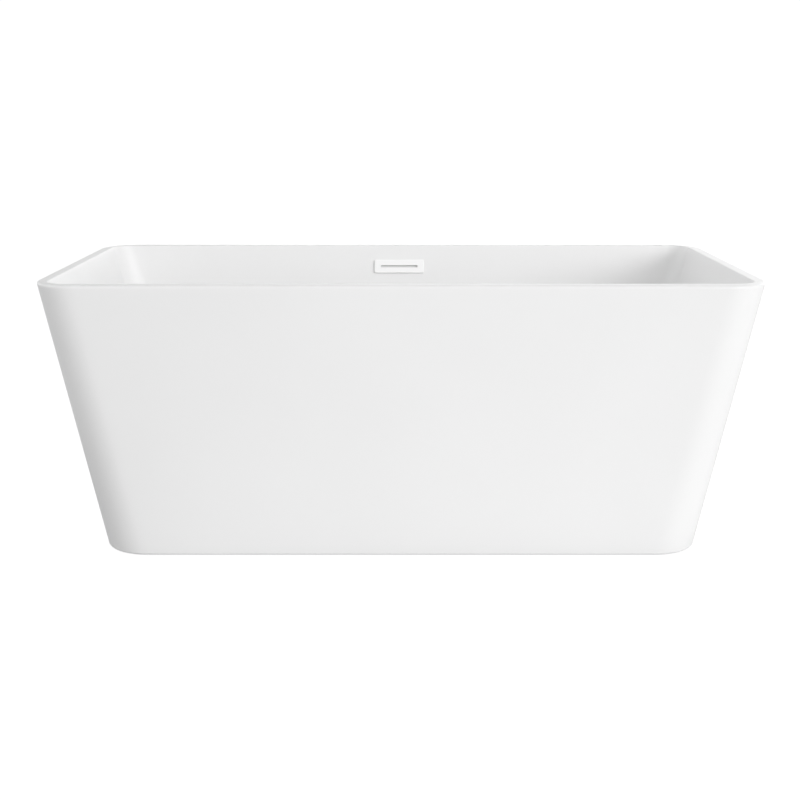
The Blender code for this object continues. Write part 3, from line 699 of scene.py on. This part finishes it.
# ------------------------------------------------------------------ ribbed plastic nuts
def ribbed(name, profile, place, ribs, depth, rmax, zlo, zhi, ring=True, r=0.0005):
    """A turned nut with grip ribs round its outer side."""
    me = lathe(name, profile, Matrix(), ribs * 6, ring, r)
    for v in me.vertices:
        rad = math.hypot(v.co.x, v.co.y)
        if rad > rmax - 0.0006 and zlo < v.co.z < zhi:
            a = math.atan2(v.co.y, v.co.x)
            k = max(0.0, math.cos(a * ribs))
            v.co.x *= 1 - depth * (1 - k) / rad
            v.co.y *= 1 - depth * (1 - k) / rad
    me.transform(place if isinstance(place, Matrix) else Matrix.Translation(place))
    return me


TAIL = [(0.0234, 0.0680), (0.0280, 0.0680), (0.0290, 0.0668), (0.0290, 0.0650), (0.0290, 0.0480), (0.0280, 0.0460), (0.0204, 0.0460),
        (0.0204, 0.0500), (0.0234, 0.0500)]
piece("fine_tail_pipe_nut", ribbed("tail_nut", TAIL, DRAIN, 18, 0.0012, 0.029, 0.0475, 0.0662), "tail_pipe_nut")
SPIGOT_N = 0.0183
hose_top = at(0, -0.0623, SPIGOT_N)
hose_end = DRAIN + Vector((0, 0.0508, 0.095))
NUT = [(0.0103, 0.0120), (0.0120, 0.0120), (0.0126, 0.0112), (0.0126, -0.0100), (0.0118, -0.0110), (0.0093, -0.0110),
       (0.0093, -0.0025), (0.0103, -0.0025)]
for node, place, axis in (("hose_nut_upper", hose_top, U), ("hose_nut_lower", hose_end, Vector((0, -1, 0)))):
    turn = Vector((0, 0, 1)).rotation_difference(axis).to_matrix().to_4x4()
    piece("fine_" + node, ribbed(node, NUT, Matrix.Translation(place) @ turn, 12, 0.0009, 0.0126, -0.0102, 0.0114, r=0.0004), node)


# ------------------------------------------------------------------ drain tee
def tee():
    c = DRAIN
    body = lathe("tee", [(0, 0.130), (0.0270, 0.130), (0.0280, 0.1290), (0.0280, 0.1180), (0.0272, 0.1160), (0.0272, 0.0740), (0.0262, 0.0712),
                         (0.0230, 0.0700), (0.0230, 0.0520), (0, 0.0520)], c, 72, False, 0.0010)
    arm = lathe("arm", [(0, 0.0505), (0.0094, 0.0505), (0.0100, 0.0498), (0.0100, 0.0370), (0.0118, 0.0350), (0.0126, 0.0300), (0.0126, 0.0100), (0, 0.0100)],
                Matrix.Translation(c + Vector((0, 0, 0.095))) @ Vector((0, 0, 1)).rotation_difference(Vector((0, 1, 0))).to_matrix().to_4x4(),
                48, False, 0.0006)
    me = cut(body, arm, how="UNION")
    return cut(me, rod(0.0224, 0.040, c + Vector((0, 0, 0.130)), seg=72), rod(0.0180, 0.080, c + Vector((0, 0, 0.080)), seg=72),
               rod(0.0204, 0.020, c + Vector((0, 0, 0.055)), seg=72), rod(0.0075, 0.060, c + Vector((0, 0.032, 0.095)), (0, 1, 0), 40))


piece("fine_drain_tee", tee(), "drain_tee", 30)


# ------------------------------------------------------------------ overflow
def cover():
    """Moulded cover: soft front edges, a shallow tray behind, a slot with rounded corners."""
    me = slab(0.1246, 0.033, -0.0052, -0.0003, 0.003, round_front=0.0009)
    me = cut(me, slab(0.1206, 0.029, -0.0030, 0.005, 0.0015))
    return cut(me, slab(0.093, 0.0056, -0.010, 0.0, 0.0012))


def baffle():
    """The plate behind the slot on its two posts; water runs over and under it."""
    return cut(slab(0.0974, 0.0100, -0.0015, -0.0006, 0.0010),
               *(slab(0.0018, 0.0098, -0.00298, -0.0010, 0.0004, seg=3, x0=x) for x in (-0.0477, 0.0477)), how="UNION")


piece("fine_overflow_cover", cover(), "overflow_cover", 24)
# The baffle takes a grey copy of the white trim: painted shade for the dark behind the slot.
piece("fine_overflow_baffle", baffle(), "overflow_cover", 24, moulded("trim_painted_shade", (0.68, 0.68, 0.68), 0.45, 500.0, 0.06))


# ------------------------------------------------------------------ corrugated hose
def through(points, count):
    pts = [Vector(p) for p in points]
    ext = [pts[0] * 2 - pts[1]] + pts + [pts[-1] * 2 - pts[-2]]
    fine = []
    for a, b2, c, d in zip(ext, ext[1:], ext[2:], ext[3:]):
        for i in range(40):
            t = i / 40
            fine.append(0.5 * ((2 * b2) + (c - a) * t + (2 * a - 5 * b2 + 4 * c - d) * t * t
                               + (3 * b2 - a - 3 * c + d) * t ** 3))
    fine.append(pts[-1])
    run = [0.0]
    for a, b2 in zip(fine, fine[1:]):
        run.append(run[-1] + (b2 - a).length)
    out, j = [], 0
    for i in range(count):
        want = run[-1] * i / (count - 1)
        while j < len(run) - 2 and run[j + 1] < want:
            j += 1
        f = (want - run[j]) / max(run[j + 1] - run[j], 1e-9)
        out.append(fine[j].lerp(fine[j + 1], min(max(f, 0), 1)))
    return out, run[-1]


def hose():
    route = [hose_top, at(0, -0.076, SPIGOT_N), (OVERFLOW_X, 0.3290, 0.425), (OVERFLOW_X * 0.7, 0.3130, 0.350), (0, 0.2950, 0.270), (0, 0.2760, 0.205),
             (0, 0.2480, 0.150), (0, 0.2080, 0.112), (0, 0.1640, 0.0965), (0, 0.1200, 0.095), hose_end]
    count = 680
    pts, length = through(route, count)
    side = Vector((1, 0, 0))
    seg, bm, rows = 28, bmesh.new(), []
    for i, p in enumerate(pts):
        d = (pts[min(i + 1, count - 1)] - pts[max(i - 1, 0)]).normalized()
        up = d.cross(side).normalized()
        s = length * i / (count - 1)
        cuff = min(s, length - s)
        wave = 0.5 + 0.5 * math.cos(math.tau * s / 0.0042)
        r = 0.0090 if cuff < 0.022 else 0.0090 - 0.0013 * (1 - wave ** 0.6)
        rows.append([bm.verts.new(p + (side * math.cos(math.tau * k / seg) + up * math.sin(math.tau * k / seg)) * r)
                     for k in range(seg)])
    for a, b2 in zip(rows, rows[1:]):
        for i in range(seg):
            j = (i + 1) % seg
            bm.faces.new((a[i], a[j], b2[j], b2[i]))
    bm.faces.new(rows[0])
    bm.faces.new(list(reversed(rows[-1])))
    return new_mesh(bm, "hose")


piece("fine_overflow_hose", hose(), "overflow_hose", 60)


# ------------------------------------------------------------------ the other pieces: eased edges
def eased(node, width, segments=2, angle=35):
    """The CAD piece with its flat faces merged and its hard edges eased."""
    bm = bmesh.new()
    bm.from_mesh(NODES[node].data)
    bmesh.ops.remove_doubles(bm, verts=bm.verts, dist=1e-6)
    bmesh.ops.dissolve_limit(bm, angle_limit=math.radians(1.0), verts=bm.verts, edges=bm.edges)
    me = new_mesh(bm, node, recalc=False)
    ob = loose("work", me)
    m = ob.modifiers.new("ease", "BEVEL")
    m.width, m.segments, m.limit_method, m.angle_limit = width, segments, "ANGLE", math.radians(angle)
    m.use_clamp_overlap = True
    m.harden_normals = False
    out = applied(ob)
    bpy.data.objects.remove(ob, do_unlink=True)
    return piece("fine_" + node, out, node, 34)


for n in ("rail_front", "rail_back", "cross_rail_left", "cross_rail_centre", "cross_rail_right"):
    eased(n, 0.0009)
for n in NODES:
    if n.startswith("skirt_bracket"):
        eased(n, 0.0005)
eased("base_board", 0.0012)
eased("plug_cartridge", 0.0003)
eased("overflow_body", 0.0004)
eased("overflow_gasket", 0.0003)

SCREW = [(0, 0.0390), (0.0008, 0.0388), (0.0025, 0.0350), (0.0025, 0.0), (0.0052, 0.0), (0.0052, -0.0010), (0.0046, -0.0020),
         (0.0034, -0.0027), (0.0016, -0.0028), (0.0014, -0.0014), (0, -0.0014)]
for n in NODES:
    if n.startswith(("board_screw", "bracket_screw")):
        (x0, y0, za), (x1, y1, zb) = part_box(n)
        rise = zb - za - 0.0028
        prof = [(r, z if z <= 0 else z - 0.0390 + rise) for r, z in SCREW]
        piece("fine_" + n, lathe(n, prof, Vector(((x0 + x1) / 2, (y0 + y1) / 2, zb - rise)), 40, False, 0.0003), n)
for s, n in ((-1, "overflow_screw_left"), (1, "overflow_screw_right")):
    prof = [(0, -0.0008), (0.0012, -0.0008), (0.0014, 0.0), (0.0030, 0.0), (0.0042, -0.0008), (0.0042, -0.0018), (0.0020, -0.0018),
            (0.0020, -0.0135), (0, -0.0135)]
    turn = Vector((0, 0, 1)).rotation_difference(-N).to_matrix().to_4x4()
    piece("fine_" + n, lathe(n, prof, Matrix.Translation(at(s * 0.0535, 0, -0.0022)) @ turn, 40, False, 0.0003), n)

for n, ob in NODES.items():
    if n not in HIDDEN:
        ob.data.materials.clear()
        ob.data.materials.append(MATS[SLOT_OF[n]])

# ------------------------------------------------------------------ floor
# White to the camera, with a painted shadow under the tub's base and the floor's glow dimmed beside it as painted
# shade.  Towards the left it lights the tub less, as a floor does near a darker side of a room.
bm = bmesh.new()
bmesh.ops.create_grid(bm, x_segments=2, y_segments=2, size=30.0)
floor = loose("studio_floor", new_mesh(bm, "studio_floor"))
floor.location.z = -0.0004
fm = bpy.data.materials.new("studio_floor")
fm.use_nodes = True
nt = fm.node_tree
p = nt.nodes["Principled BSDF"]
p.inputs["Base Color"].default_value = (0.16, 0.16, 0.16, 1)
p.inputs["Roughness"].default_value = 0.9
p.inputs["Specular IOR Level"].default_value = 0.1
p.inputs["Emission Color"].default_value = (1, 1, 1, 1)
p.inputs["Emission Strength"].default_value = 0.93
glow = nt.nodes.new("ShaderNodeEmission")
where = nt.nodes.new("ShaderNodeTexCoord")
split = nt.nodes.new("ShaderNodeSeparateXYZ")
nt.links.new(where.outputs["Object"], split.inputs["Vector"])


def floor_math(how, a, b=0.0, c=0.0):
    m = nt.nodes.new("ShaderNodeMath")
    m.operation = how
    for sock, v in zip(m.inputs, (a, b, c)):
        if isinstance(v, float):
            sock.default_value = v
        else:
            nt.links.new(v, sock)
    return m.outputs[0]


curve = nt.nodes.new("ShaderNodeValToRGB")                 # how strongly each part of the floor lights the tub
stops = curve.color_ramp.elements
while len(stops) < len(FLOOR_GLOW):
    stops.new(0.5)
for e, (x, v) in zip(stops, FLOOR_GLOW):
    e.position = (x + 2.0) / 4.0
    e.color = (v, v, v, 1.0)
nt.links.new(floor_math("MULTIPLY_ADD", split.outputs["X"], 0.25, 0.5), curve.inputs["Fac"])
across = [floor_math("MAXIMUM", floor_math("ADD", floor_math("ABSOLUTE", split.outputs[k]), R_BASE - half))
          for k, half in (("X", LENGTH / 2 - END_TAPER), ("Y", WIDTH / 2 - SIDE_TAPER))]
beside = floor_math("SQRT", floor_math("ADD", *(floor_math("MULTIPLY", v, v) for v in across)))     # from the rounded outline's core
shade = nt.nodes.new("ShaderNodeMapRange")                 # painted shadow: the floor darkened under the tub, to the camera and in its glow
shade.interpolation_type = "SMOOTHSTEP"
for k, v in (("From Min", R_BASE - 0.012), ("From Max", R_BASE - 0.001), ("To Min", 0.0), ("To Max", 1.0)):
    shade.inputs[k].default_value = v
nt.links.new(beside, shade.inputs["Value"])
near = nt.nodes.new("ShaderNodeMapRange")                  # painted shade: the floor's glow dimmed beside the tub, darkening the tub's lowest part
for k, v in (("From Min", R_BASE), ("From Max", R_BASE + 0.080), ("To Min", 0.84), ("To Max", 1.0)):
    near.inputs[k].default_value = v
nt.links.new(beside, near.inputs["Value"])
nt.links.new(floor_math("MULTIPLY", floor_math("MULTIPLY", curve.outputs["Color"], shade.outputs["Result"]), near.outputs["Result"]),
             glow.inputs["Strength"])
# painted shadow: to the camera the floor's emission falls under the tub to the painted-shadow level
nt.links.new(floor_math("ADD", floor_math("MULTIPLY", shade.outputs["Result"], 0.93 - FLOOR_PAINTED_SHADOW), FLOOR_PAINTED_SHADOW), p.inputs["Emission Strength"])
seen = nt.nodes.new("ShaderNodeLightPath")
pick = nt.nodes.new("ShaderNodeMixShader")
nt.links.new(seen.outputs["Is Camera Ray"], pick.inputs["Fac"])
nt.links.new(glow.outputs[0], pick.inputs[1])
nt.links.new(p.outputs["BSDF"], pick.inputs[2])
nt.links.new(pick.outputs[0], nt.nodes["Material Output"].inputs["Surface"])
floor.data.materials.append(fm)

# ------------------------------------------------------------------ light
scene = bpy.context.scene
scene.view_settings.view_transform = "Standard"
world = bpy.data.worlds.new("studio")
scene.world = world
world.use_nodes = True
wt = world.node_tree
wt.nodes.clear()
wo = wt.nodes.new("ShaderNodeOutputWorld")
back = wt.nodes.new("ShaderNodeBackground")
fill = wt.nodes.new("ShaderNodeBackground")
mixs = wt.nodes.new("ShaderNodeMixShader")
path = wt.nodes.new("ShaderNodeLightPath")
tc = wt.nodes.new("ShaderNodeTexCoord")


def lobe(azimuth, elevation, strength, tight):
    """A broad soft patch of light; azimuth 0 is the front, 90 the right."""
    a, e = math.radians(azimuth), math.radians(elevation)
    dot = wt.nodes.new("ShaderNodeVectorMath")
    dot.operation = "DOT_PRODUCT"
    dot.inputs[1].default_value = (math.sin(a) * math.cos(e), -math.cos(a) * math.cos(e), math.sin(e))
    wt.links.new(tc.outputs["Generated"], dot.inputs[0])
    out = dot.outputs["Value"]
    for how, v in (("MAXIMUM", 0.0), ("POWER", tight), ("MULTIPLY", strength)):
        m = wt.nodes.new("ShaderNodeMath")
        m.operation = how
        m.inputs[1].default_value = v
        wt.links.new(out, m.inputs[0])
        out = m.outputs[0]
    return out


total = None
for where in SOFT_LIGHTS:
    part = lobe(*where)
    if total is None:
        total = part
    else:
        m = wt.nodes.new("ShaderNodeMath")
        wt.links.new(total, m.inputs[0])
        wt.links.new(part, m.inputs[1])
        total = m.outputs[0]
back.inputs["Color"].default_value = (1, 1, 1, 1)
back.inputs["Strength"].default_value = 1.05
wt.links.new(total, fill.inputs["Strength"])
wt.links.new(path.outputs["Is Camera Ray"], mixs.inputs["Fac"])
wt.links.new(fill.outputs[0], mixs.inputs[1])
wt.links.new(back.outputs[0], mixs.inputs[2])
wt.links.new(mixs.outputs[0], wo.inputs["Surface"])


def area(name, size, power, place, target):
    d = bpy.data.lights.new(name, "AREA")
    d.shape = "RECTANGLE"
    d.size, d.size_y = size
    d.energy = power
    o = bpy.data.objects.new(name, d)
    scene.collection.objects.link(o)
    o.location = place
    o.rotation_euler = (Vector(target) - Vector(place)).to_track_quat("-Z", "Y").to_euler()
    return o


area("key_right", (3.3, 3.3), 210.0, (8.38, -7.99, 3.30), (0, 0.1, 0.4))

# ------------------------------------------------------------------ camera
cam = bpy.data.cameras.new("camera")
cam.lens, cam.sensor_width = 58.12, 36.0
cam.clip_start, cam.clip_end = 0.05, 100.0
co = bpy.data.objects.new("camera", cam)
scene.collection.objects.link(co)
co.location = (-0.0022, -2.9419, 0.9623)
co.rotation_euler = (math.pi / 2 - 0.2287, 0, 0)
scene.camera = co
